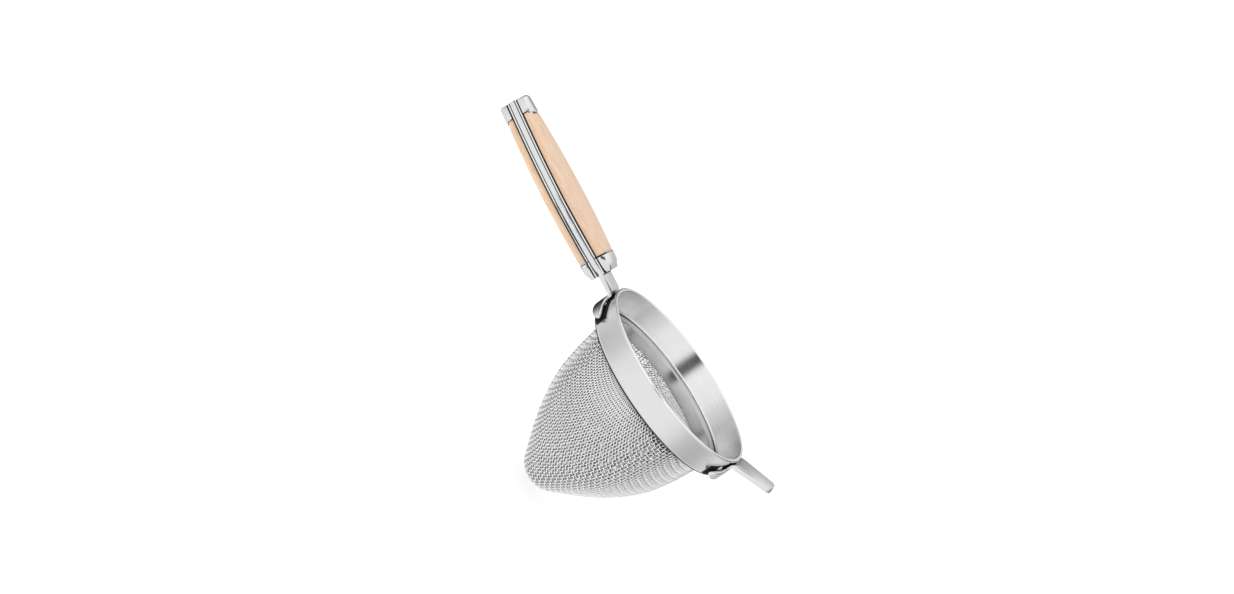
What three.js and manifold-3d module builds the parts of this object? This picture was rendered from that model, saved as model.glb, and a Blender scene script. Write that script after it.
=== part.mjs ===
// Hand strainer: a steel rim band carries two nested wire-cloth sieves, a knife-style
// handle on one side and a rest hook on the other.
// Millimetres, +Z up. The origin is the centre of the plane on which the strainer hangs
// over a vessel; the hook points to +X and the handle to -X.
import * as THREE from "three";
import { mergeVertices } from "three/addons/utils/BufferGeometryUtils.js";
import Module from "manifold-3d";

const LIP_ABOVE_SEAT = 5.2;
const CLEARANCE = 0.3;

// Rim band: heights are measured from the top of the lip
const LIP_RADIUS = 60;
const LIP_HEIGHT = 1.4;
const BAND_RADIUS = 58.8;
const BAND_WALL = 1.2;
const LEDGE_TOP = -16.8;
const LEDGE_SHEET = 0.8;
const LEDGE_RADIUS = 51.9;

// Clamp ring that grips the cloth inside the ledge
const RING_TOP = -16.2;
const RING_BOTTOM = -24;
const RING_FLANGE = 53.6;
const RING_RADIUS = 49.5;
const RING_TAPER = 1.3;
const RING_WALL = 0.8;

// Sieves: outside radius and height down the outer basket, which sags towards the hook
const OUTER_CLOTH = 1;
const INNER_CLOTH = 0.4;
const BASKET_TOP = -17.2;
const BASKET_BOTTOM = -111.9;
const BASKET_SAG = 1.4;
const BASKET = [
  [51.4, BASKET_TOP],
  [49.9, -27],
  [47.9, -42],
  [44.4, -57],
  [37.8, -72],
  [28.6, -87],
  [18.4, -100.5],
  [12, -108.2],
  [6.6, -111.3],
  [0, BASKET_BOTTOM],
];

// Arms: a flat bar whose inner end bends down into a saddle against the band
const SADDLE = {
  gap: 0.8,
  thickness: 1.9,
  curve: 72,
  bottom: -15.9,
  tip: -11.3,
  foot: 15,
  half: 31,
};
const HOOK = {
  side: 1,
  slope: 18.5,
  thickness: 3.5,
  bend: 3.21,
  rise: -3.1,
  reach: 23.3,
  half: hookHalf,
};
const HANDLE = {
  side: -1,
  slope: 8,
  thickness: 3.4,
  bend: 2.64,
  rise: -3.8,
  reach: 121.8,
  half: barHalf,
};
const HOOK_ROOT_HALF = 9.6;
const HOOK_TIP_HALF = 6.2;
const HOOK_CORNER = 3;

// Handle: distances run outwards along the bar
const NECK_HALF = 8.6;
const FRONT_END = 9.8;
const REAR_END = 121.5;
const FRONT_BOLSTER = 10.3;
const REAR_BOLSTER = 8.9;
const REAR_JOINT_LEAN = 2.4;
const BELLY_AT = 57;
const BELLY_HALF = 14.7;
const FRONT_HALF = 10.2;
const REAR_HALF = 5.6;
const LINER = 1.4;
const SIDE_WALL = 2.6;
const PROUD = 0.3;
const CROWN = { front: 8.8, belly: 9.8, rear: 8.7 };
const BOTTOM_SLIMMER = 0.4;
const PIN_RADIUS = 1.5;
const SCALE_PINS = [35, 66, 97];
const FRONT_PIN = 15;
const REAR_PIN = 117;
const SCALE_PIN_HALF = 6.6;
const BOLSTER_PIN_HALF = 5.8;

const wasm = await Module();
wasm.setup();

const steel = (color, roughness) =>
  new THREE.MeshStandardMaterial({ color, roughness, metalness: 1 });
const beech = () =>
  new THREE.MeshStandardMaterial({ color: 0xecd0b4, roughness: 0.62, metalness: 0 });

const { clamp, lerp, degToRad } = THREE.MathUtils;
const ease = (t) => (1 - Math.cos(Math.PI * clamp(t, 0, 1))) / 2;

function piece(name, geometry, material) {
  const mesh = new THREE.Mesh(geometry, material);
  mesh.name = name;
  return mesh;
}

// ---- shape helpers ----

// A closed body from rows of points: each row is a loop, and the end rows are capped.
function loftLoops(rows) {
  const size = rows[0].length;
  const index = [];
  for (let i = 0; i + 1 < rows.length; i++) {
    for (let k = 0; k < size; k++) {
      const a = i * size + k;
      const b = i * size + ((k + 1) % size);
      index.push(a, b, b + size, a, b + size, a + size);
    }
  }
  const last = (rows.length - 1) * size;
  for (let k = 1; k + 1 < size; k++) {
    index.push(0, k + 1, k, last, last + k, last + k + 1);
  }
  const geometry = new THREE.BufferGeometry().setFromPoints(rows.flat());
  geometry.setIndex(index);
  geometry.computeVertexNormals();
  return geometry;
}

// A body turned about Z from a profile of [radius, height] points.
function turned(profile, segments, shift = () => 0) {
  const outline = profile.map(([radius, height]) => new THREE.Vector2(radius, height));
  const geometry = new THREE.LatheGeometry(outline, segments).rotateX(Math.PI / 2);
  const place = geometry.getAttribute("position");
  for (let i = 0; i < place.count; i++) {
    place.setX(i, place.getX(i) + shift(place.getZ(i)));
  }
  return geometry;
}

function toSolid(geometry) {
  const bare = geometry.clone();
  bare.deleteAttribute("normal");
  bare.deleteAttribute("uv");
  const merged = mergeVertices(bare, 1e-3);
  return new wasm.Manifold(
    new wasm.Mesh({
      numProp: 3,
      vertProperties: merged.getAttribute("position").array,
      triVerts: new Uint32Array(merged.index.array),
    }),
  );
}

function toGeometry(solid) {
  const { vertProperties, triVerts } = solid.getMesh();
  const geometry = new THREE.BufferGeometry();
  geometry.setAttribute("position", new THREE.BufferAttribute(vertProperties, 3));
  geometry.setIndex(new THREE.BufferAttribute(triVerts, 1));
  geometry.computeVertexNormals();
  return geometry;
}

// An upright pin or hole at distance s along the handle.
function upright(radius, s, low, high) {
  const cylinder = new THREE.CylinderGeometry(radius, radius, high - low, 12);
  return cylinder.rotateX(Math.PI / 2).translate(-s, 0, (low + high) / 2);
}

function drilled(geometry, places, low, high) {
  const hole = (s) => toSolid(upright(PIN_RADIUS + CLEARANCE, s, low, high));
  return toGeometry(places.reduce((body, s) => body.subtract(hole(s)), toSolid(geometry)));
}

// ---- rim band and clamp ring ----

function rimBand() {
  const inside = BAND_RADIUS - BAND_WALL;
  const under = LEDGE_TOP - LEDGE_SHEET;
  return turned(
    [
      [LEDGE_RADIUS, under],
      [BAND_RADIUS - 2.2, under],
      [BAND_RADIUS - 0.7, under + 0.7],
      [BAND_RADIUS, under + 2.2],
      [BAND_RADIUS, -LIP_HEIGHT],
      [LIP_RADIUS, -LIP_HEIGHT + 0.3],
      [LIP_RADIUS, -0.4],
      [LIP_RADIUS - 0.5, 0],
      [inside + 0.5, 0],
      [inside, -0.5],
      [inside, LEDGE_TOP + 0.9],
      [inside - 0.9, LEDGE_TOP],
      [LEDGE_RADIUS, LEDGE_TOP],
      [LEDGE_RADIUS, under],
    ],
    72,
  );
}

function clampRing() {
  const flangeBottom = LEDGE_TOP + CLEARANCE;
  const foot = RING_RADIUS - RING_TAPER;
  return turned(
    [
      [foot - RING_WALL, RING_BOTTOM],
      [foot, RING_BOTTOM],
      [RING_RADIUS, flangeBottom],
      [RING_FLANGE, flangeBottom],
      [RING_FLANGE, RING_TOP],
      [RING_RADIUS, RING_TOP],
      [RING_RADIUS - RING_WALL, RING_TOP - RING_WALL],
      [foot - RING_WALL, RING_BOTTOM],
    ],
    60,
  );
}

// ---- sieves ----

function sag(height) {
  const depth = clamp((BASKET_TOP - height) / (BASKET_TOP - BASKET_BOTTOM), 0, 1);
  return BASKET_SAG * Math.sin(Math.PI * depth);
}

// The basket's profile moved inwards, square to itself, from the top to the axis.
function basketLine(inset, steps) {
  const curve = new THREE.SplineCurve(BASKET.map(([r, z]) => new THREE.Vector2(r, z)));
  const line = [];
  for (let i = 0; i <= steps; i++) {
    const point = curve.getPoint(i / steps);
    const along = curve.getTangent(i / steps);
    const r = point.x + inset * along.y;
    const z = point.y - inset * along.x;
    line.push([i === steps ? 0 : Math.max(r, 0.5), i === 0 ? BASKET_TOP : z]);
  }
  return line;
}

function sieve(inset, thickness) {
  const outside = basketLine(inset, 16);
  const inside = basketLine(inset + thickness, 16);
  return turned([...outside.reverse(), ...inside], 48, sag);
}

// ---- arms ----

function hookHalf(s) {
  const straight = lerp(HOOK_ROOT_HALF, HOOK_TIP_HALF, clamp(s / HOOK.reach, 0, 1));
  const corner = clamp((s - HOOK.reach + HOOK_CORNER) / HOOK_CORNER, 0, 1);
  return straight - HOOK_CORNER * (1 - Math.sqrt(1 - corner * corner));
}

// Half the handle's width: it swells from the neck to the belly and tapers to the rear.
function gripHalf(s) {
  const forward = s < BELLY_AT;
  const run = forward ? BELLY_AT - FRONT_END : REAR_END - BELLY_AT;
  const drop = BELLY_HALF - (forward ? FRONT_HALF : REAR_HALF);
  return BELLY_HALF - drop * Math.abs((s - BELLY_AT) / run) ** 1.7;
}

function barHalf(s) {
  return lerp(NECK_HALF, gripHalf(s), ease((s - FRONT_END - 1) / 5));
}

// Half the saddle's width at a height: a broad foot, rounded tips, then in to the bar.
function saddleHalf(height, root) {
  const { bottom, tip, foot, half } = SADDLE;
  if (height < tip) {
    const fall = (tip - height) / (tip - bottom);
    return foot + (half - foot) * Math.sqrt(Math.max(0, 1 - fall * fall));
  }
  return lerp(half, root, ease((height - tip) / 5.2));
}

function arm({ side, slope, thickness, bend, rise, reach, half }) {
  const tilt = degToRad(slope);
  const wallAt = BAND_RADIUS + SADDLE.gap + SADDLE.thickness / 2;
  const bendTop = rise - bend * Math.cos(tilt);
  const bendArc = bend * (Math.PI / 2 - tilt);
  const climb = bendTop - SADDLE.bottom;
  const root = half(0);

  // One station along the sheet: its place, lean and half width, how far it hugs the band
  // and how far it has turned out into the bar.
  function station(d) {
    if (d <= climb) {
      const z = SADDLE.bottom + d;
      return { x: wallAt, z, lean: Math.PI / 2, half: saddleHalf(z, root), hug: 1, out: 0 };
    }
    if (d <= climb + bendArc) {
      const turn = (d - climb) / bend;
      const out = (d - climb) / bendArc;
      return {
        x: wallAt + bend * (1 - Math.cos(turn)),
        z: bendTop + bend * Math.sin(turn),
        lean: Math.PI / 2 - turn,
        half: lerp(saddleHalf(bendTop, root), root, ease(out)),
        hug: 1 - ease(out),
        out,
      };
    }
    const s = d - climb - bendArc;
    return {
      x: wallAt + bend * (1 - Math.sin(tilt)) + s * Math.cos(tilt),
      z: rise + s * Math.sin(tilt),
      lean: tilt,
      half: half(s),
      hug: 0,
      out: 1,
    };
  }

  // A loop round the sheet's section at one station, across the inner and outer faces.
  function section(d) {
    const at = station(d);
    const thick = lerp(SADDLE.thickness, thickness, at.out);
    const across = 8;
    const face = (offset, k) => {
      const y = lerp(-at.half, at.half, k / across);
      const turn = y / SADDLE.curve;
      const back = at.hug * SADDLE.curve * (1 - Math.cos(turn));
      const width = lerp(y, SADDLE.curve * Math.sin(turn), at.hug);
      const x = at.x - back - offset * Math.sin(at.lean);
      const z = at.z + offset * Math.cos(at.lean);
      return new THREE.Vector3(side * x, side * width, z);
    };
    const loop = [];
    for (let k = 0; k <= across; k++) loop.push(face(-thick / 2, k));
    for (let k = across; k >= 0; k--) loop.push(face(thick / 2, k));
    return loop;
  }

  const stops = [];
  const add = (from, to, count) => {
    for (let i = 0; i < count; i++) stops.push(lerp(from, to, i / count));
  };
  const tipAt = SADDLE.tip - SADDLE.bottom;
  add(0, 1, 2);
  add(1, tipAt, 4);
  add(tipAt, climb, 4);
  add(climb, climb + bendArc, 6);
  const far = climb + bendArc;
  const bevel = Math.min(HOOK_CORNER, reach / 4);
  add(far, far + reach - bevel, reach > 50 ? 22 : 4);
  add(far + reach - bevel, far + reach, 5);
  stops.push(far + reach);
  return loftLoops(stops.map(section));
}

// ---- handle ----

// Half section of a scale or bolster, closed: flat inner face, side walls, crowned outer face.
function gripSection(s, half, inner, crown, up, lean) {
  const wall = inner + SIDE_WALL;
  const loop = [];
  const steps = 10;
  for (let k = 0; k <= steps; k++) {
    const angle = (Math.PI * k) / steps;
    const y = Math.cos(angle);
    const rise = (1 - Math.abs(y) ** 2.6) ** (1 / 2.6);
    const z = wall + (crown - wall) * rise;
    loop.push(new THREE.Vector3(lean * rise - s, half * y, up * z));
  }
  loop.push(new THREE.Vector3(-s, -half, up * inner));
  loop.push(new THREE.Vector3(-s, half, up * inner));
  return up > 0 ? loop.reverse() : loop;
}

function crownAt(s) {
  const end = s < BELLY_AT ? CROWN.front : CROWN.rear;
  const run = s < BELLY_AT ? BELLY_AT - FRONT_END : REAR_END - BELLY_AT;
  return lerp(CROWN.belly, end, Math.abs((s - BELLY_AT) / run) ** 2);
}

// A scale or bolster between two ends; each end has a bevel's depth and drop, and may lean.
function gripBody(front, rear, inner, up, proud) {
  const slim = up > 0 ? 0 : BOTTOM_SLIMMER;
  const row = (s, drop, lean) => {
    const half = gripHalf(s) + proud - drop / 2;
    return gripSection(s, half, inner, crownAt(s) + proud - drop - slim, up, lean);
  };
  const from = front.at + front.depth;
  const to = rear.at - rear.depth;
  const count = Math.max(2, Math.round((to - from) / 7));
  const rows = [row(front.at, front.drop, front.lean)];
  for (let i = 0; i <= count; i++) {
    const lean = i === 0 ? front.lean : i === count ? rear.lean : 0;
    rows.push(row(lerp(from, to, i / count), 0, lean));
  }
  rows.push(row(rear.at, rear.drop, rear.lean));
  return loftLoops(rows);
}

function liner(up) {
  const low = HANDLE.thickness / 2 + CLEARANCE;
  const stops = [];
  for (let i = 0; i <= 22; i++) stops.push(lerp(FRONT_END, REAR_END, i / 22));
  const section = (s) => {
    const half = gripHalf(s);
    const corners = [
      [-half, low],
      [-half, low + LINER],
      [half, low + LINER],
      [half, low],
    ];
    const loop = corners.map(([y, z]) => new THREE.Vector3(-s, y, up * z));
    return up > 0 ? loop : loop.reverse();
  };
  return loftLoops(stops.map(section));
}

function handleParts() {
  const inner = HANDLE.thickness / 2 + LINER + 2 * CLEARANCE;
  const joint = { depth: 0.6, drop: 0.4, lean: 0 };
  const frontJoint = FRONT_END + FRONT_BOLSTER;
  const rearJoint = REAR_END - REAR_BOLSTER;
  const leaning = { ...joint, lean: REAR_JOINT_LEAN };
  const ends = {
    scale: [{ ...joint, at: frontJoint + CLEARANCE }, { ...leaning, at: rearJoint - 2 * CLEARANCE }],
    front: [{ at: FRONT_END, depth: 4.6, drop: 2.2, lean: 0 }, { ...joint, at: frontJoint }],
    rear: [{ ...leaning, at: rearJoint }, { at: REAR_END, depth: 0.8, drop: 0.7, lean: 0 }],
  };
  const pins = [FRONT_PIN, ...SCALE_PINS, REAR_PIN];
  const parts = [];
  for (const [word, up] of [["top", 1], ["bottom", -1]]) {
    const depths = (reach) => (up > 0 ? [0, reach + CLEARANCE] : [-reach - CLEARANCE, 0]);
    const scale = gripBody(...ends.scale, inner, up, 0);
    const front = gripBody(...ends.front, inner, up, PROUD);
    const rear = gripBody(...ends.rear, inner, up, PROUD);
    parts.push(
      piece(`${word}_liner`, drilled(liner(up), pins, -9, 9), steel(0xd4d6d8, 0.22)),
      piece(`${word}_scale`, drilled(scale, SCALE_PINS, ...depths(SCALE_PIN_HALF)), beech()),
      piece(
        `${word}_front_bolster`,
        drilled(front, [FRONT_PIN], ...depths(BOLSTER_PIN_HALF)),
        steel(0xcacbcc, 0.28),
      ),
      piece(
        `${word}_rear_bolster`,
        drilled(rear, [REAR_PIN], ...depths(BOLSTER_PIN_HALF)),
        steel(0xcacbcc, 0.28),
      ),
    );
  }
  const pin = (name, s, half) =>
    piece(name, upright(PIN_RADIUS, s, -half, half), steel(0xb8babc, 0.4));
  parts.push(
    pin("front_bolster_pin", FRONT_PIN, BOLSTER_PIN_HALF),
    ...SCALE_PINS.map((s, i) => pin(`scale_pin_${i + 1}`, s, SCALE_PIN_HALF)),
    pin("rear_bolster_pin", REAR_PIN, BOLSTER_PIN_HALF),
  );
  return parts;
}

// The handle's own frame: its origin is where the bar leaves the bend, -X runs outwards.
function handleFrame() {
  const tilt = degToRad(HANDLE.slope);
  const frame = new THREE.Group();
  const start = BAND_RADIUS + SADDLE.gap + SADDLE.thickness / 2;
  frame.position.set(-start - HANDLE.bend * (1 - Math.sin(tilt)), 0, HANDLE.rise);
  frame.rotation.y = tilt;
  return frame;
}

function handleBar() {
  const frame = handleFrame();
  frame.updateMatrixWorld(true);
  const back = frame.matrixWorld.clone().invert();
  const pins = [FRONT_PIN, ...SCALE_PINS, REAR_PIN];
  return drilled(arm(HANDLE).applyMatrix4(back), pins, -9, 9);
}

const strainer = new THREE.Group();
strainer.position.z = LIP_ABOVE_SEAT;
strainer.add(
  piece("rim_band", rimBand(), steel(0xdcdddd, 0.3)),
  piece("clamp_ring", clampRing(), steel(0xb4b6b8, 0.35)),
  piece("outer_sieve", sieve(0, OUTER_CLOTH), steel(0xc6c8ca, 0.4)),
  piece("inner_sieve", sieve(OUTER_CLOTH + CLEARANCE, INNER_CLOTH), steel(0xd0d2d4, 0.45)),
  piece("hook_bar", arm(HOOK), steel(0xcfd1d3, 0.35)),
);

const handle = handleFrame();
handle.add(piece("handle_bar", handleBar(), steel(0xd6dade, 0.35)), ...handleParts());
strainer.add(handle);

const root = new THREE.Group();
root.add(strainer);
export default root;
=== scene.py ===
"""Looks of the hand strainer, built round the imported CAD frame. Blender 4.5, metres, +Z up."""

import math

import bmesh
import bpy
import numpy as np
from mathutils import Matrix, Quaternion, Vector


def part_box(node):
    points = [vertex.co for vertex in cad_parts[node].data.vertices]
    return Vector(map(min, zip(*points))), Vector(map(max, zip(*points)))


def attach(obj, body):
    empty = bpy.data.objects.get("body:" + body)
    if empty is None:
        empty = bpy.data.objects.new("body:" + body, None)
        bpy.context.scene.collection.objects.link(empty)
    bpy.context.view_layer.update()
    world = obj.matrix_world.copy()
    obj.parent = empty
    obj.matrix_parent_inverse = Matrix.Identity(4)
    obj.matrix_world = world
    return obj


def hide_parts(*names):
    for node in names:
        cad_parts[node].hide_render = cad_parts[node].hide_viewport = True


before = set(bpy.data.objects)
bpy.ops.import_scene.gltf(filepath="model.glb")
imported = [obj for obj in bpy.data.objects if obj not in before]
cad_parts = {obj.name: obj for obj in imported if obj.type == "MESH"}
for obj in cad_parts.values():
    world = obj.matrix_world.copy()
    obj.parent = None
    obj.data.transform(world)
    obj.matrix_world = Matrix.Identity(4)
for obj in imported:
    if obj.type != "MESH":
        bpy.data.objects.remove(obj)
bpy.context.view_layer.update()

MM = 0.001
TAU = 2 * math.pi

# ---- sizes, in millimetres, as in the CAD model ----

LIP_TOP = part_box("rim_band")[1].z / MM
BAND_RADIUS = 58.8
SADDLE_GAP = 0.8
OUTER_PITCH = 2.35
OUTER_WIRE = 0.80
OUTER_INSET = 0.82  # from the sieve's outside to the middle of its cloth
INNER_PITCH = 1.75
INNER_WIRE = 0.54
INNER_INSET = 1.95
CLOTH_AXIS = -60  # degrees round Z, where one family of wires runs straight down the basket
GRIP_START = -62.4  # from the origin to the bar's bend, along the grip
GRIP_MIDDLE = 7.356  # from the tang's middle plane to the origin


# ---- small helpers ----


def link(obj):
    bpy.context.scene.collection.objects.link(obj)
    return obj


def make_object(name, vertices, faces, material):
    mesh = bpy.data.meshes.new(name)
    mesh.from_pydata([tuple(v) for v in vertices], [], faces)
    mesh.validate()
    mesh.materials.append(material)
    mesh.polygons.foreach_set("use_smooth", [True] * len(mesh.polygons))
    mesh.update()
    return link(bpy.data.objects.new(name, mesh))


def fast_object(name, vertices, quads, material, knuckle):
    """An object from numpy arrays: vertices in metres, four corners a face, a value a vertex for
    painted light.
    """
    mesh = bpy.data.meshes.new(name)
    mesh.vertices.add(len(vertices))
    mesh.vertices.foreach_set("co", np.asarray(vertices, np.float32).ravel())
    count = len(quads)
    mesh.loops.add(4 * count)
    mesh.loops.foreach_set("vertex_index", np.asarray(quads, np.int32).ravel())
    mesh.polygons.add(count)
    mesh.polygons.foreach_set("loop_start", np.arange(0, 4 * count, 4, dtype=np.int32))
    mesh.polygons.foreach_set("loop_total", np.full(count, 4, np.int32))
    mesh.polygons.foreach_set("use_smooth", np.ones(count, bool))
    mesh.materials.append(material)
    values = mesh.attributes.new("knuckle", "FLOAT", "POINT")
    values.data.foreach_set("value", np.asarray(knuckle, np.float32))
    mesh.update(calc_edges=True)
    return link(bpy.data.objects.new(name, mesh))


def settle(obj, node):
    """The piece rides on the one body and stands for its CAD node."""
    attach(obj, "root")
    if node:
        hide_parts(node)
    return obj


def outline(node):
    """A turned CAD node's section in the half plane y = 0, x > 0, as (radius, height) in mm.

    It starts at the widest point and goes down the outside.
    """
    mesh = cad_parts[node].data
    key = lambda v: (round(v.co.x / MM, 3), round(v.co.z / MM, 3))
    on = {v.index: key(v) for v in mesh.vertices if abs(v.co.y) < 2e-6 and v.co.x > 1e-4}
    near = {}
    for edge in mesh.edges:
        a, b = edge.vertices
        if a in on and b in on and on[a] != on[b]:
            near.setdefault(on[a], set()).add(on[b])
            near.setdefault(on[b], set()).add(on[a])
    path = [max(near)]
    while True:
        ahead = [p for p in near[path[-1]] if p not in path]
        if not ahead:
            return path
        path.append(max(ahead))


def rounded(points, radius, steps=4):
    """A closed outline with each corner turned into an arc of about that radius."""
    out = []
    count = len(points)
    for i, here in enumerate(points):
        p = Vector(here)
        a = Vector(points[i - 1]) - p
        b = Vector(points[(i + 1) % count]) - p
        cut = min(radius, 0.45 * a.length, 0.45 * b.length)
        start = p + a.normalized() * cut
        end = p + b.normalized() * cut
        for k in range(steps + 1):
            t = k / steps
            out.append(start * (1 - t) ** 2 + p * (2 * t * (1 - t)) + end * t**2)
    return out


def turned(name, profile, segments, material):
    """A body turned about Z from a closed outline of (radius, height) points in mm."""
    count = len(profile)
    vertices = []
    for i in range(segments):
        turn = TAU * i / segments
        for r, z in profile:
            vertices.append((r * math.cos(turn) * MM, r * math.sin(turn) * MM, z * MM))
    faces = []
    for i in range(segments):
        a, b = i * count, ((i + 1) % segments) * count
        for k in range(count):
            n = (k + 1) % count
            faces.append((a + k, a + n, b + n, b + k))
    return make_object(name, vertices, faces, material)


# ---- materials ----


class Nodes:
    """Short calls for building a material's node tree."""

    def __init__(self, name):
        self.material = bpy.data.materials.new(name)
        self.material.use_nodes = True
        self.tree = self.material.node_tree
        self.shader = self.tree.nodes["Principled BSDF"]
        self.place = self.add("ShaderNodeTexCoord").outputs["Object"]

    def add(self, kind, **settings):
        node = self.tree.nodes.new(kind)
        for key, value in settings.items():
            setattr(node, key, value)
        return node

    def wire(self, source, target):
        self.tree.links.new(source, target)

    def feed(self, node, values):
        for key, value in values.items():
            if isinstance(value, bpy.types.NodeSocket):
                self.wire(value, node.inputs[key])
            else:
                node.inputs[key].default_value = value
        return node

    def math(self, operation, a, b=0.0):
        node = self.add("ShaderNodeMath", operation=operation)
        return self.feed(node, {0: a, 1: b}).outputs[0]

    def noise(self, vector, scale, detail=3.0, roughness=0.5):
        node = self.add("ShaderNodeTexNoise")
        values = {"Vector": vector, "Scale": scale, "Detail": detail, "Roughness": roughness}
        return self.feed(node, values).outputs["Fac"]

    def stretched(self, vector, scale):
        node = self.add("ShaderNodeMapping")
        return self.feed(node, {"Vector": vector, "Scale": scale}).outputs[0]

    def ramp(self, factor, stops):
        node = self.add("ShaderNodeValToRGB")
        marks = node.color_ramp.elements
        while len(marks) < len(stops):
            marks.new(0.5)
        for mark, (at, color) in zip(marks, stops):
            mark.position = at
            mark.color = (*color, 1) if len(color) == 3 else color
        self.wire(factor, node.inputs["Fac"])
        return node.outputs["Color"]

    def to_range(self, value, low, high):
        node = self.add("ShaderNodeMapRange")
        values = {"Value": value, "To Min": low, "To Max": high}
        return self.feed(node, values).outputs["Result"]

    def round_the_axis(self):
        """Angle, height and radius about Z, as a vector in which brush lines lie along X."""
        split = self.add("ShaderNodeSeparateXYZ")
        self.wire(self.place, split.inputs[0])
        x, y, z = split.outputs
        turn = self.math("ARCTAN2", y, x)
        squares = self.math("ADD", self.math("MULTIPLY", x, x), self.math("MULTIPLY", y, y))
        join = self.add("ShaderNodeCombineXYZ")
        arc = self.math("MULTIPLY", turn, 0.055)
        self.feed(join, {0: arc, 1: z, 2: self.math("SQRT", squares)})
        return join.outputs[0]

    def bump(self, height, strength, distance):
        node = self.add("ShaderNodeBump")
        values = {"Height": height, "Strength": strength, "Distance": distance}
        self.feed(node, values)
        self.wire(node.outputs["Normal"], self.shader.inputs["Normal"])
        return node

    def set(self, **values):
        names = [socket.name for socket in self.shader.inputs]
        sockets = {name.lower().replace(" ", "_"): name for name in names}
        self.feed(self.shader, {sockets[key]: value for key, value in values.items()})
        return self.material


def brushed(name, light, dark, rough, lines, grain, around=False, stretch=0.0, shade_masks=(), flare=0.0):
    """Steel with fine parallel brush lines, a faint cloudy tone and dark, dull painted shade.

    flare tilts only the shading of an upright wall upwards: 0.27 is 15 degrees, 0.1 is 6.
    """
    n = Nodes(name)
    base = n.round_the_axis() if around else n.place
    along = n.stretched(base, lines)
    fine = n.noise(along, grain, 5.0, 0.65)
    clouds = n.noise(n.place, 45.0, 3.0)
    mixed = n.math("ADD", n.math("MULTIPLY", fine, 0.65), n.math("MULTIPLY", clouds, 0.35))
    color = n.ramp(mixed, [(0.3, dark), (0.7, light)])
    roughness = n.to_range(mixed, rough + 0.05, rough - 0.04)
    bare = 1.0
    # The masks paint shade: the steel is near black, dull and not metallic where they cover it.
    if shade_masks:
        shade_cover = shade_masks[0](n)
        for mask in shade_masks[1:]:
            shade_cover = n.math("MAXIMUM", shade_cover, mask(n))
        blend = n.add("ShaderNodeMixRGB")
        n.feed(blend, {"Fac": shade_cover, "Color1": color, "Color2": (0.012, 0.012, 0.012, 1)})
        color = blend.outputs["Color"]
        bare = n.math("SUBTRACT", 1.0, shade_cover)
        roughness = n.math("ADD", roughness, n.math("MULTIPLY", shade_cover, 0.5))
    lines_bump = n.bump(fine, 0.14, 0.00003)
    if flare:
        split = n.add("ShaderNodeSeparateXYZ")
        n.wire(n.place, split.inputs[0])
        lean = n.add("ShaderNodeBump")
        inward = n.math("MULTIPLY", split.outputs["Z"], -1)
        n.feed(lean, {"Height": inward, "Strength": 1.0, "Distance": flare})
        n.wire(lean.outputs["Normal"], lines_bump.inputs["Normal"])
    if stretch:
        around_z = n.add("ShaderNodeTangent", direction_type="RADIAL", axis="Z")
        n.feed(n.shader, {"Tangent": around_z.outputs[0]})
        n.set(anisotropic=stretch, anisotropic_rotation=0.25)
    return n.set(base_color=color, metallic=bare, roughness=roughness, specular_ior_level=0.2)


def cylinder_place(n):
    """Radius, height and angle from the +X axis line, in mm and radians."""
    split = n.add("ShaderNodeSeparateXYZ")
    n.wire(n.place, split.inputs[0])
    x, y, z = split.outputs
    squares = n.math("ADD", n.math("MULTIPLY", x, x), n.math("MULTIPLY", y, y))
    radius = n.math("MULTIPLY", n.math("SQRT", squares), 1000)
    height = n.math("MULTIPLY", z, 1000)
    aside = n.math("ARCTAN2", n.math("ABSOLUTE", y), n.math("ABSOLUTE", x))
    return radius, height, aside


def between(n, value, low, high, soft):
    """1 inside the two limits, fading to 0 over the soft width."""
    def edge(end, side):
        node = n.add("ShaderNodeMapRange")
        n.feed(node, {"Value": value, "From Min": end - side * soft, "From Max": end})
        return node.outputs["Result"]

    return n.math("MULTIPLY", edge(low, 1), edge(high, -1))


def painted_under_band_shade(n):
    """Painted shade under the band, painted reflection on the lowest 1.8 mm of its rounded foot."""
    radius, height, _ = cylinder_place(n)
    low = LIP_TOP - 17.6
    under = between(n, height, low - 2, low + 1.2, 0.6)
    return n.math("MULTIPLY", under, between(n, radius, 53, 60, 0.5))


def painted_saddle_shade(n):
    """Painted shade behind each saddle and on the open wall a few mm above its wings."""
    radius, height, aside = cylinder_place(n)
    down = n.add("ShaderNodeMapRange")
    n.feed(down, {"Value": height, "From Min": LIP_TOP - 4.5, "From Max": LIP_TOP - 8.5,
                  "To Min": math.radians(13), "To Max": math.radians(30)})
    room = n.math("SUBTRACT", down.outputs["Result"], aside)
    spread = n.math("MULTIPLY", n.math("MULTIPLY", aside, aside), 4.6)
    depth = n.math("SUBTRACT", radius, spread)
    zone = n.math("MULTIPLY", between(n, room, 0.0, 9, 0.05), between(n, depth, 57.5, 59.75, 0.1))
    return n.math("MULTIPLY", zone, between(n, height, LIP_TOP - 16.2, LIP_TOP - 2.6, 0.4))


def grip_place(n):
    """Distance along the grip and height above the tang's middle, in mm."""
    def along(direction, start):
        dot = n.add("ShaderNodeVectorMath", operation="DOT_PRODUCT")
        n.feed(dot, {0: n.place, 1: direction})
        return n.math("ADD", n.math("MULTIPLY", dot.outputs["Value"], 1000), start)

    tilt = math.radians(8)
    run = along((-math.cos(tilt), 0, math.sin(tilt)), GRIP_START)
    height = along((math.sin(tilt), 0, math.cos(tilt)), GRIP_MIDDLE)
    return run, height


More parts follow.
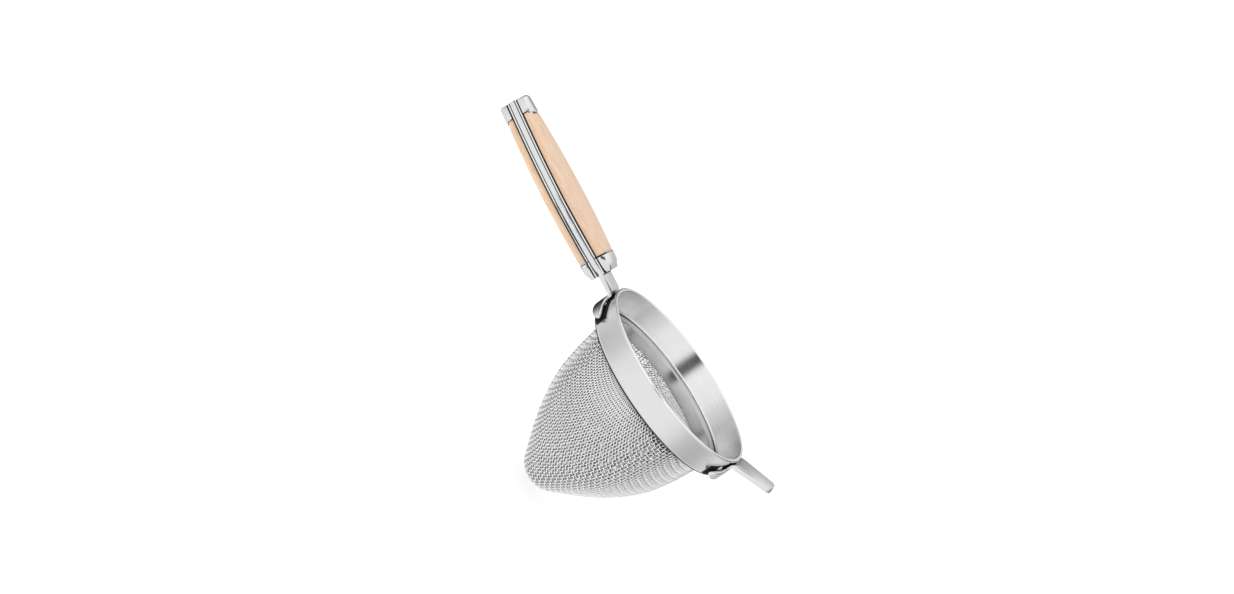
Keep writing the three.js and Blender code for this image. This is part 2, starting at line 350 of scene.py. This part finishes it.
def painted_grip_gap_shade(n):
    """Painted shade in and beside the gaps of the grip, and where the bolsters meet the wood."""
    run, height = grip_place(n)
    side = n.math("ABSOLUTE", height)
    lines = n.math("MAXIMUM", between(n, side, 1.5, 1.95, 0.1), between(n, side, 2.85, 3.4, 0.1))
    lines = n.math("MULTIPLY", lines, between(n, run, 9.4, 130, 0.3))
    joint = n.math("MULTIPLY", between(n, run, 19.7, 20.5, 0.4), between(n, side, 2.9, 9, 1.5))
    return n.math("MAXIMUM", lines, joint)


def steel_materials():
    long_lines = (1.0, 34.0, 34.0)
    made = {}
    made["band"] = brushed("satin_band", (0.83, 0.83, 0.83), (0.77, 0.77, 0.775), 0.24, long_lines,
                           60.0, around=True, shade_masks=(painted_under_band_shade, painted_saddle_shade))
    # The inner wall is the same steel as the band's outside, made lighter: painted light.
    made["inside"] = brushed("satin_inside", (0.90, 0.90, 0.90), (0.80, 0.80, 0.80), 0.24,
                             long_lines, 60.0, around=True, stretch=0.8, flare=0.27)
    made["lip"] = brushed("polished_lip", (0.92, 0.92, 0.92), (0.86, 0.86, 0.86), 0.12, long_lines,
                          60.0, around=True)
    made["ring"] = brushed("satin_ring", (0.62, 0.62, 0.62), (0.50, 0.50, 0.505), 0.24, long_lines,
                           60.0, around=True, stretch=0.8, flare=0.1)
    made["arm"] = brushed("satin_arm", (0.82, 0.825, 0.83), (0.72, 0.725, 0.73), 0.19,
                          (1.0, 30.0, 30.0), 70.0, shade_masks=(painted_saddle_shade, painted_grip_gap_shade))
    made["polished"] = brushed("polished_steel", (0.85, 0.85, 0.855), (0.78, 0.78, 0.785), 0.12,
                               (1.0, 26.0, 26.0), 70.0, shade_masks=(painted_grip_gap_shade,))
    made["bolster"] = brushed("bolster_steel", (0.80, 0.80, 0.805), (0.72, 0.72, 0.725), 0.13,
                              (1.0, 20.0, 20.0), 90.0, shade_masks=(painted_grip_gap_shade,))
    # The weld is whiter than the other steel: a painted highlight.
    made["weld"] = brushed("weld_bead", (1.0, 1.0, 1.0), (0.9, 0.9, 0.9), 0.18, (1.0, 1.0, 1.0),
                           900.0)
    return made


def wire_material(name, light, dark, crossing, highlight_at, rough, metal):
    """Drawn wire: painted highlight on the knuckles, painted shade in crossings and under the band.
    """
    n = Nodes(name)
    knuckle = n.add("ShaderNodeAttribute", attribute_name="knuckle").outputs["Fac"]
    patches = n.noise(n.place, 120.0, 2.0)
    specks = n.noise(n.place, 2600.0, 2.0)
    mixed = n.math("ADD", n.math("MULTIPLY", patches, 0.6), n.math("MULTIPLY", specks, 0.4))
    drawn = n.ramp(mixed, [(0.32, dark), (0.68, light)])
    # Painted light: where the knuckle value is high the wire is painted bright, where it is low
    # painted dark as shade.
    painted_light = n.ramp(knuckle, [(highlight_at - 0.26, crossing), (highlight_at, (0.84, 0.84, 0.84)),
                           (highlight_at + 0.2, (1, 1, 1))])
    blend = n.add("ShaderNodeMixRGB", blend_type="MULTIPLY")
    n.feed(blend, {"Fac": 1.0, "Color1": drawn, "Color2": painted_light})
    # Painted shade below the band, darkest where the knuckle value is low.
    _, height, _ = cylinder_place(n)
    under_band = between(n, height, LIP_TOP - 19.2, LIP_TOP, 3.0)
    dull = n.math("MULTIPLY", under_band, n.to_range(knuckle, 1.0, 0.3))
    crevice = n.add("ShaderNodeMixRGB")
    n.feed(crevice, {"Fac": dull, "Color1": blend.outputs["Color"], "Color2": (*crossing, 1)})
    color = crevice.outputs["Color"]
    roughness = n.to_range(specks, rough - 0.05, rough + 0.08)
    n.bump(specks, 0.12, 0.00003)
    return n.set(base_color=color, metallic=metal, roughness=roughness)


def beech_material():
    """Pale beech: grain along the handle, short dark flecks, painted shade near the liners."""
    n = Nodes("beech")
    grain_space = n.stretched(n.place, (2.2, 30.0, 26.0))
    warped = n.noise(n.stretched(n.place, (1.0, 5.0, 5.0)), 30.0, 2.0)
    offset = n.add("ShaderNodeVectorMath", operation="ADD")
    scaled = n.add("ShaderNodeVectorMath", operation="SCALE")
    n.feed(scaled, {0: warped, "Scale": 0.35})
    n.feed(offset, {0: grain_space, 1: scaled.outputs[0]})
    grain = n.noise(offset.outputs[0], 16.0, 6.0, 0.62)
    flecks = n.noise(n.stretched(n.place, (6.0, 85.0, 85.0)), 42.0, 2.0, 0.5)
    tone = n.ramp(grain, [(0.28, (0.78, 0.51, 0.34)), (0.5, (0.86, 0.62, 0.445)),
                          (0.72, (0.90, 0.70, 0.53))])
    spots = n.ramp(flecks, [(0.60, (1, 1, 1)), (0.74, (0.86, 0.76, 0.66))])
    mix = n.add("ShaderNodeMixRGB", blend_type="MULTIPLY")
    n.feed(mix, {"Fac": 0.8, "Color1": tone, "Color2": spots})
    # Painted shade: the wood darkens over about 3 mm next to the liners.
    _, height = grip_place(n)
    near_liners = n.ramp(n.math("DIVIDE", n.math("ABSOLUTE", height), 10),
                     [(0.32, (0.66, 0.60, 0.55)), (0.46, (0.86, 0.83, 0.80)), (0.66, (1, 1, 1))])
    painted_light = n.add("ShaderNodeMixRGB", blend_type="MULTIPLY")
    n.feed(painted_light, {"Fac": 1.0, "Color1": mix.outputs[0], "Color2": near_liners})
    roughness = n.to_range(grain, 0.56, 0.42)
    relief = n.math("SUBTRACT", grain, n.math("MULTIPLY", flecks, 0.4))
    n.bump(relief, 0.3, 0.0001)
    return n.set(base_color=painted_light.outputs[0], roughness=roughness, coat_weight=0.08,
                 coat_roughness=0.3, specular_ior_level=0.4)


STEEL = steel_materials()
BEECH = beech_material()
# The third colour is the painted shade in the crossings; the inner cloth's is near black, painting
# its outward side dark.
OUTER_WIRE_STEEL = wire_material("bright_wire", (1.0, 1.0, 1.0), (0.93, 0.93, 0.93),
                                 (0.22, 0.22, 0.22), 0.42, 0.2, 1.0)
INNER_WIRE_STEEL = wire_material("fine_wire", (1.0, 1.0, 1.0), (0.95, 0.95, 0.95),
                                 (0.03, 0.03, 0.03), 0.52, 0.3, 0.35)

# ---- rim band and clamp ring ----


def rim():
    band = turned("rim", rounded(outline("rim_band"), 0.35, 3), 288, STEEL["band"])
    band.data.materials.append(STEEL["inside"])
    band.data.materials.append(STEEL["lip"])
    for face in band.data.polygons:
        outward = face.normal.x * face.center.x + face.normal.y * face.center.y
        face.material_index = int(outward < -0.2 * Vector(face.center[:2]).length)
        if face.center.z > (LIP_TOP - 1.1) * MM and abs(face.normal.z) > 0.12:
            face.material_index = 2
    settle(band, "rim_band")
    ring = turned("cloth_clamp", rounded(outline("clamp_ring"), 0.3, 3), 240, STEEL["ring"])
    settle(ring, "clamp_ring")


# ---- sieves ----


def basket_curve():
    """The outer sieve's outside in the CAD: (radius, height, shift) rows from the tip up, mm."""
    levels = {}
    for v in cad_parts["outer_sieve"].data.vertices:
        if abs(v.co.y) < 2e-6:
            levels.setdefault(round(v.co.z / MM, 3), []).append(v.co.x / MM)
    rows = [(0, min(levels), 0)]
    for x, z in reversed(outline("outer_sieve")):
        shift = (max(levels[z]) + min(levels[z])) / 2
        rows.append((x - shift, z, shift))
    return rows


class Basket:
    """The cloth's middle surface at an inset from the outside, by distance from the tip."""

    def __init__(self, inset):
        rows = np.array(basket_curve())
        fine = self.spline(rows[:, :2], 600)
        step = np.gradient(fine, axis=0)
        step /= np.linalg.norm(step, axis=1)[:, None]
        moved = fine + inset * np.c_[-step[:, 1], step[:, 0]]
        moved[0, 0] = 0
        moved[:, 0] = np.maximum(moved[:, 0], 0)
        moved = np.vstack([moved, moved[-1] + (moved[-1] - moved[-2]) * 60])
        gaps = np.linalg.norm(np.diff(moved, axis=0), axis=1)
        self.s = np.r_[0, np.cumsum(gaps)]
        self.r = moved[:, 0]
        self.z = moved[:, 1]
        self.top = float(rows[-1, 1])
        self.sag_z = rows[:, 1]
        self.sag = rows[:, 2]

    @staticmethod
    def spline(points, count):
        gaps = np.linalg.norm(np.diff(points, axis=0), axis=1)
        t = np.r_[0, np.cumsum(gaps)]
        u = np.linspace(0, t[-1], count)
        out = np.zeros((count, 2))
        for axis in range(2):
            values = points[:, axis]
            slope = np.gradient(values, t)
            if axis == 1:
                slope[0] = 0
            i = np.clip(np.searchsorted(t, u) - 1, 0, len(t) - 2)
            h = t[i + 1] - t[i]
            w = (u - t[i]) / h
            out[:, axis] = (
                values[i] * (1 + 2 * w) * (1 - w) ** 2
                + values[i + 1] * w**2 * (3 - 2 * w)
                + h * slope[i] * w * (1 - w) ** 2
                + h * slope[i + 1] * w**2 * (w - 1)
            )
        return out

    def at(self, a, b):
        """Points for flat polar places (a, b) in mm: the distance from the tip is kept."""
        s = np.hypot(a, b)
        r = np.interp(s, self.s, self.r)
        z = np.interp(s, self.s, self.z)
        safe = np.maximum(s, 1e-9)
        return np.stack([r * a / safe, r * b / safe, z], -1)

    def normal(self, a, b):
        s = np.hypot(a, b)
        e = 0.4
        dr = np.interp(s + e, self.s, self.r) - np.interp(np.maximum(s - e, 0), self.s, self.r)
        dz = np.interp(s + e, self.s, self.z) - np.interp(np.maximum(s - e, 0), self.s, self.z)
        length = np.hypot(dr, dz)
        safe = np.maximum(s, 1e-9)
        out = np.stack([dz / length * a / safe, dz / length * b / safe, -dr / length], -1)
        out[s < 1e-6] = (0, 0, -1)
        return out


def cloth_net(basket, pitch):
    """One quarter of a net of equal cells draped on the basket, in flat polar places.

    Each crossing lies one pitch from its two neighbours nearer the tip, as cloth shears.
    """
    size = int(basket.s[-1] / pitch) + 1
    net = np.zeros((size, size, 2))
    reached = np.zeros((size, size), bool)
    for i in range(size):
        net[i, 0] = (i * pitch, 0)
        net[0, i] = (0, i * pitch)
    limit = basket.s[-1] - pitch
    brim = basket.top + 1.2 * pitch
    reached[0] = reached[:, 0] = basket.at(*net[:, 0].T)[:, 2] < brim
    for total in range(2, 2 * size - 1):
        i = np.arange(max(1, total - size + 1), min(size - 1, total - 1) + 1)
        j = total - i
        left, right, back = net[i - 1, j], net[i, j - 1], net[i - 1, j - 1]
        guess = left + right - back
        a_end, b_end = basket.at(*left.T), basket.at(*right.T)
        e = 1e-3
        for _ in range(12):
            here = basket.at(*guess.T)
            by_a = (basket.at(guess[:, 0] + e, guess[:, 1]) - here) / e
            by_b = (basket.at(guess[:, 0], guess[:, 1] + e) - here) / e
            to_a, to_b = here - a_end, here - b_end
            f = np.stack([(to_a**2).sum(1) - pitch**2, (to_b**2).sum(1) - pitch**2], 1)
            j11, j12 = 2 * (to_a * by_a).sum(1), 2 * (to_a * by_b).sum(1)
            j21, j22 = 2 * (to_b * by_a).sum(1), 2 * (to_b * by_b).sum(1)
            det = j11 * j22 - j12 * j21
            det = np.where(np.abs(det) < 1e-4, 1e-4, det)
            step = np.stack([(f[:, 0] * j22 - f[:, 1] * j12) / det,
                             (f[:, 1] * j11 - f[:, 0] * j21) / det], 1)
            length = np.linalg.norm(step, axis=1)[:, None]
            guess = guess - step * np.minimum(1, 0.4 * pitch / np.maximum(length, 1e-9))
        far = np.hypot(guess[:, 0], guess[:, 1])
        over = far > limit
        guess[over] *= (limit / far[over])[:, None]
        net[i, j] = guess
        height = basket.at(*guess.T)[:, 2]
        reached[i, j] = (height < brim) & reached[i - 1, j] & reached[i, j - 1]
    return net, reached


def full_net(basket, pitch):
    """The quarter net mirrored into all four, with the tip's crossing in the middle."""
    quarter, reached = cloth_net(basket, pitch)
    n = len(quarter)
    net = np.zeros((2 * n - 1, 2 * n - 1, 2))
    held = np.zeros((2 * n - 1, 2 * n - 1), bool)
    for su in (1, -1):
        for sv in (1, -1):
            rows = (n - 1) + su * np.arange(n)
            columns = (n - 1) + sv * np.arange(n)
            net[np.ix_(rows, columns)] = quarter * (su, sv)
            held[np.ix_(rows, columns)] = reached
    return net, held


def wires(name, basket, pitch, diameter, sides, pieces, material, seen):
    """Both families of crimped wires, over and under each other, as one mesh of tubes.

    seen is 1 for a cloth looked at from outside and -1 from inside; it picks which side is painted
    lit.
    """
    net, held = full_net(basket, pitch)
    count = len(net)
    turn = math.radians(CLOTH_AXIS)
    spin = np.array([[math.cos(turn), math.sin(turn)], [-math.sin(turn), math.cos(turn)]])
    ring = np.arange(sides) / sides * TAU
    lift = diameter / 2
    all_points, all_faces, all_knuckles, made = [], [], [], 0
    for family in range(2):
        lines = net if family == 0 else net.transpose(1, 0, 2)
        on_cloth = held if family == 0 else held.T
        for i in range(count):
            flat = lines[i]
            keep = np.flatnonzero(on_cloth[i])
            if len(keep) < 3:
                continue
            t = np.arange((len(keep) - 1) * pieces + 1) / pieces
            steps = np.arange(len(keep))
            places = np.stack([np.interp(t, steps, flat[keep, k]) for k in (0, 1)], 1)
            under = basket.at(*places.T)[:, 2] < basket.top
            t, places = t[under], places[under]
            if len(t) < 4:
                continue
            centre = basket.at(*places.T)
            out = basket.normal(*places.T)
            sign = 1 if (i + family) % 2 == 0 else -1
            wave = sign * np.cos(math.pi * (t + keep[0]))
            centre = centre + out * (lift * wave)[:, None]
            # Painted light: the wire's outward side and the tops of the crossings get high values,
            # the inward side and the dips low.
            high = (wave[:, None] + np.cos(ring)[None, :]) * seen
            all_knuckles.append(0.5 + 0.25 * high.ravel())
            centre[:, :2] = centre[:, :2] @ spin
            out[:, :2] = out[:, :2] @ spin
            centre[:, 0] += np.interp(centre[:, 2], basket.sag_z, basket.sag)
            ahead = np.gradient(centre, axis=0)
            ahead /= np.linalg.norm(ahead, axis=1)[:, None]
            side = np.cross(ahead, out)
            side /= np.linalg.norm(side, axis=1)[:, None]
            up = np.cross(side, ahead)
            upward = np.cos(ring)[None, :, None] * up[:, None]
            sideways = np.sin(ring)[None, :, None] * side[:, None]
            loop = upward + sideways
            points = centre[:, None] + loop * diameter / 2
            rows = len(t)
            index = made + np.arange(rows * sides).reshape(rows, sides)
            nxt = np.roll(index, -1, axis=1)
            faces = np.stack([index[:-1], index[1:], nxt[1:], nxt[:-1]], -1).reshape(-1, 4)
            all_points.append(points.reshape(-1, 3))
            all_faces.append(faces)
            made += rows * sides
    knuckles = np.concatenate(all_knuckles)
    return fast_object(name, np.vstack(all_points) * MM, np.vstack(all_faces), material, knuckles)


def sieves():
    outer = wires("woven_outer_sieve", Basket(OUTER_INSET), OUTER_PITCH, OUTER_WIRE, 6, 6,
                  OUTER_WIRE_STEEL, 1)
    settle(outer, "outer_sieve")
    inner = wires("woven_inner_sieve", Basket(INNER_INSET), INNER_PITCH, INNER_WIRE, 5, 4,
                  INNER_WIRE_STEEL, -1)
    settle(inner, "inner_sieve")


# ---- arms ----


def from_cad(name, node, material, bevel, angle=32, segments=3):
    """A CAD node's shape with its seams merged and its sharp edges softened."""
    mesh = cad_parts[node].data.copy()
    mesh.name = name
    bm = bmesh.new()
    bm.from_mesh(mesh)
    bmesh.ops.remove_doubles(bm, verts=bm.verts, dist=2e-6)
    bmesh.ops.dissolve_limit(bm, angle_limit=math.radians(0.4), verts=bm.verts, edges=bm.edges)
    bm.to_mesh(mesh)
    bm.free()
    mesh.materials.clear()
    mesh.materials.append(material)
    mesh.polygons.foreach_set("use_smooth", [True] * len(mesh.polygons))
    obj = link(bpy.data.objects.new(name, mesh))
    soften = obj.modifiers.new("edges", "BEVEL")
    soften.width = bevel * MM
    soften.segments = segments
    soften.limit_method = "ANGLE"
    soften.angle_limit = math.radians(angle)
    soften.harden_normals = True
    return obj


def arms():
    hook = from_cad("rest_hook", "hook_bar", STEEL["arm"], 0.35)
    settle(hook, "hook_bar")
    bar = from_cad("tang_and_neck", "handle_bar", STEEL["arm"], 0.3)
    settle(bar, "handle_bar")


def weld(name, azimuth, height, size):
    """A lumpy bead of weld in the gap between a saddle and the band."""
    bm = bmesh.new()
    bmesh.ops.create_icosphere(bm, subdivisions=3, radius=1)
    for v in bm.verts:
        wobble = 1 + 0.10 * math.sin(5 * v.co.y + 2 * v.co.z) + 0.06 * math.sin(9 * v.co.x)
        v.co = Vector((v.co.x * size[0], v.co.y * size[1], v.co.z * size[2])) * wobble * MM
    mesh = bpy.data.meshes.new(name)
    bm.to_mesh(mesh)
    bm.free()
    mesh.polygons.foreach_set("use_smooth", [True] * len(mesh.polygons))
    mesh.materials.append(STEEL["weld"])
    turn = math.radians(azimuth)
    radius = BAND_RADIUS + SADDLE_GAP / 2
    spot = Vector((radius * math.cos(turn), radius * math.sin(turn), LIP_TOP + height)) * MM
    mesh.transform(Matrix.Translation(spot) @ Matrix.Rotation(turn, 4, "Z"))
    obj = link(bpy.data.objects.new(name, mesh))
    settle(obj, None)


def welds():
    for word, centre, spread, height in (("hook", 0, 20, -8.3), ("handle", 180, 13, -9.8)):
        for side in (-1, 1):
            name = f"{word}_weld_{'near' if side < 0 else 'far'}"
            lean = side if word == "hook" else -side
            weld(name, centre + lean * spread, height, (0.75, 1.9, 1.9))


# ---- handle ----


def grip():
    for word in ("top", "bottom"):
        scale = from_cad(f"{word}_wood", f"{word}_scale", BEECH, 0.5, 30)
        settle(scale, f"{word}_scale")
        liner = from_cad(f"{word}_strip", f"{word}_liner", STEEL["polished"], 0.12, 40, 2)
        settle(liner, f"{word}_liner")
        for end in ("front", "rear"):
            node = f"{word}_{end}_bolster"
            block = from_cad(f"{word}_{end}_cap", node, STEEL["bolster"], 0.3, 30)
            settle(block, node)


def pins():
    for name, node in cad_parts.items():
        if name.endswith("_pin") or name.startswith("scale_pin"):
            node.data.materials.clear()
            node.data.materials.append(STEEL["arm"])


# ---- stage, light and camera ----


def studio_world():
    """A white room for what is looked at and lit; reflections also see its darker places."""
    world = bpy.data.worlds.new("studio")
    bpy.context.scene.world = world
    world.use_nodes = True
    tree = world.node_tree
    background = tree.nodes["Background"]

    def add(kind, **settings):
        node = tree.nodes.new(kind)
        for key, value in settings.items():
            setattr(node, key, value)
        return node

    def toward(direction):
        node = add("ShaderNodeVectorMath", operation="DOT_PRODUCT")
        tree.links.new(looking.outputs["Generated"], node.inputs[0])
        node.inputs[1].default_value = Vector(direction).normalized()
        return node.outputs["Value"]

    def shade(value, stops):
        """Brightness along a direction: stops run from -1, away from it, to 1, straight at it."""
        spread = add("ShaderNodeMapRange")
        spread.inputs["From Min"].default_value = -1
        tree.links.new(value, spread.inputs["Value"])
        ramp = add("ShaderNodeValToRGB")
        ramp.color_ramp.interpolation = "EASE"
        marks = ramp.color_ramp.elements
        while len(marks) < len(stops):
            marks.new(0.5)
        for mark, (at, tone) in zip(marks, stops):
            mark.position = (at + 1) / 2
            mark.color = (tone, tone, tone, 1)
        tree.links.new(spread.outputs["Result"], ramp.inputs["Fac"])
        return ramp.outputs["Color"]

    def times(a, b):
        node = add("ShaderNodeMixRGB", blend_type="MULTIPLY")
        node.inputs["Fac"].default_value = 1
        tree.links.new(a, node.inputs["Color1"])
        tree.links.new(b, node.inputs["Color2"])
        return node.outputs["Color"]

    def merge(operation, a, b):
        node = add("ShaderNodeMath", operation=operation)
        for socket, value in zip(node.inputs, (a, b)):
            if isinstance(value, bpy.types.NodeSocket):
                tree.links.new(value, socket)
            else:
                socket.default_value = value
        return node.outputs[0]

    def dark_place(*sides):
        mask = shade(toward(sides[0][0]), sides[0][1])
        for direction, stops in sides[1:]:
            mask = merge("MULTIPLY", mask, shade(toward(direction), stops))
        return merge("SUBTRACT", 1.0, mask)

    looking = add("ShaderNodeTexCoord")
    tone = times(shade(toward(LOW_SIDE), LOW_SHADE), shade(toward(ACROSS), ACROSS_SHADE))
    tone = times(tone, dark_place((ACROSS, GAP_ACROSS), (FRONT, GAP_FRONT), (UP, GAP_HEIGHT)))
    tone = times(tone, dark_place((ACROSS, END_ACROSS), (FRONT, END_FRONT), (UP, END_HEIGHT)))
    tone = times(tone, dark_place((FRONT, BACK_FRONT), (UP, BACK_HEIGHT), (ACROSS, BACK_ACROSS)))
    path = add("ShaderNodeLightPath")
    soft = add("ShaderNodeMixRGB")
    tree.links.new(path.outputs["Is Diffuse Ray"], soft.inputs["Fac"])
    soft.inputs["Color1"].default_value = (1.06, 1.06, 1.06, 1)
    tree.links.new(shade(toward(LOW_SIDE), SOFT_SHADE), soft.inputs["Color2"])
    plain = add("ShaderNodeMixRGB")
    tree.links.new(path.outputs["Is Glossy Ray"], plain.inputs["Fac"])
    tree.links.new(soft.outputs["Color"], plain.inputs["Color1"])
    tree.links.new(tone, plain.inputs["Color2"])
    tree.links.new(plain.outputs["Color"], background.inputs["Color"])
    background.inputs["Strength"].default_value = 1.0


# What the steel reflects: directions in the strainer's own frame, and brightness along them
LOW_SIDE = (0.81, -0.14, -0.56)
LOW_SHADE = [(-1.0, 1.1), (0.3, 1.0), (0.8, 1.0), (1.0, 0.8)]
SOFT_SHADE = [(-1.0, 1.1), (0.0, 0.93), (1.0, 0.6)]
ACROSS = (1, 0, 0)
ACROSS_SHADE = [(-1.0, 0.45), (-0.9, 0.66), (-0.7, 0.9), (-0.3, 1.0), (0.3, 1.0), (0.7, 0.95),
                (0.9, 0.72), (1.0, 0.5)]
FRONT = (0, -1, 0)
UP = (0, 0, 1)
# A dark gap between two soft boxes, above the camera
GAP_ACROSS = [(-0.19, 0.0), (-0.08, 0.99), (0.08, 0.99), (0.19, 0.0)]
GAP_FRONT = [(-0.2, 0.0), (0.0, 1.0)]
GAP_HEIGHT = [(-0.14, 0.0), (-0.04, 1.0), (0.7, 1.0), (0.95, 0.0)]
# Two darker corners of the room behind the strainer, left and right
END_ACROSS = [(-1.0, 0.85), (-0.5, 0.85), (-0.3, 0.0), (0.3, 0.0), (0.5, 0.85), (1.0, 0.85)]
END_FRONT = [(-0.83, 1.0), (-0.33, 0.5), (-0.1, 0.0)]
END_HEIGHT = [(-0.24, 0.0), (-0.1, 1.0), (0.5, 1.0), (0.8, 0.0)]
# The dim far end of the room, low down
BACK_FRONT = [(-0.9, 1.0), (-0.5, 0.0)]
BACK_HEIGHT = [(-0.15, 0.98), (0.1, 0.9), (0.25, 0.75), (0.6, 0.0)]
BACK_ACROSS = [(-0.2, 1.0), (0.05, 0.45)]


FLOOR_GLOW = 0.62
LAMP_PLACE = (0.0, -0.16, 0.40)  # metres, above and in front of the mouth
LAMP_AIM = (0.0, 0.025, -0.02)
LAMP_POWER = 6.0
LAMP_SPREAD = 15  # degrees
CAMERA_AZIMUTH, CAMERA_ELEVATION, CAMERA_ROLL = 0.88, 15.54, 54.3  # degrees
CAMERA_AIM = (-57.3, 0, 0.7)
CAMERA_DISTANCE = 925.3
CAMERA_LENS = 46.68


def floor():
    """A pale light table under the strainer's tip."""
    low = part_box("outer_sieve")[0].z - 0.002
    rim = [(math.cos(TAU * i / 96), math.sin(TAU * i / 96)) for i in range(96)]
    rings = [0.2, 0.6, 2.0, 8.0, 30.0]
    vertices = [(0, 0, low)] + [(x * r, y * r, low) for r in rings for x, y in rim]
    faces = [(0, 1 + i, 1 + (i + 1) % 96) for i in range(96)]
    for ring in range(len(rings) - 1):
        for i in range(96):
            a = 1 + ring * 96 + i
            b = 1 + ring * 96 + (i + 1) % 96
            faces.append((a, a + 96, b + 96, b))
    n = Nodes("pale_floor")
    mottle = n.noise(n.place, 3.0, 2.0)
    color = n.ramp(mottle, [(0.3, (0.52, 0.52, 0.52)), (0.7, (0.55, 0.55, 0.55))])
    material = n.set(base_color=color, roughness=0.6, emission_color=(1, 1, 1, 1),
                     emission_strength=FLOOR_GLOW)
    table = make_object("floor", vertices, faces, material)
    table.visible_glossy = False


def mouth_light():
    """A soft lamp over the mouth that lights the cloth inside, and shows in no steel."""
    data = bpy.data.lights.new("mouth_light", "SPOT")
    lamp = link(bpy.data.objects.new("mouth_light", data))
    data.energy = LAMP_POWER
    data.spot_size = math.radians(LAMP_SPREAD)
    data.spot_blend = 0.6
    data.shadow_soft_size = 0.02
    lamp.location = LAMP_PLACE
    lamp.rotation_mode = "QUATERNION"
    aim = Vector(LAMP_AIM) - lamp.location
    lamp.rotation_quaternion = aim.to_track_quat("-Z", "Y")
    lamp.visible_glossy = False


def camera():
    """The camera stands 15.5 degrees above the rim plane and is rolled, as the strainer lies."""
    azimuth = math.radians(CAMERA_AZIMUTH)
    elevation = math.radians(CAMERA_ELEVATION)
    roll = math.radians(CAMERA_ROLL)
    aim = Vector(CAMERA_AIM) * MM
    distance = CAMERA_DISTANCE * MM
    back = Vector((
        math.sin(azimuth) * math.cos(elevation),
        -math.cos(azimuth) * math.cos(elevation),
        math.sin(elevation),
    ))
    data = bpy.data.cameras.new("camera")
    obj = link(bpy.data.objects.new("camera", data))
    data.sensor_width = 36
    data.lens = CAMERA_LENS
    data.clip_start = 0.01
    data.clip_end = 50
    obj.rotation_mode = "QUATERNION"
    obj.location = aim + back * distance
    obj.rotation_quaternion = (-back).to_track_quat("-Z", "Y") @ Quaternion((0, 0, 1), roll)
    bpy.context.scene.camera = obj


rim()
sieves()
arms()
welds()
grip()
pins()
studio_world()
floor()
mouth_light()
camera()

bpy.context.scene.view_settings.view_transform = "Standard"
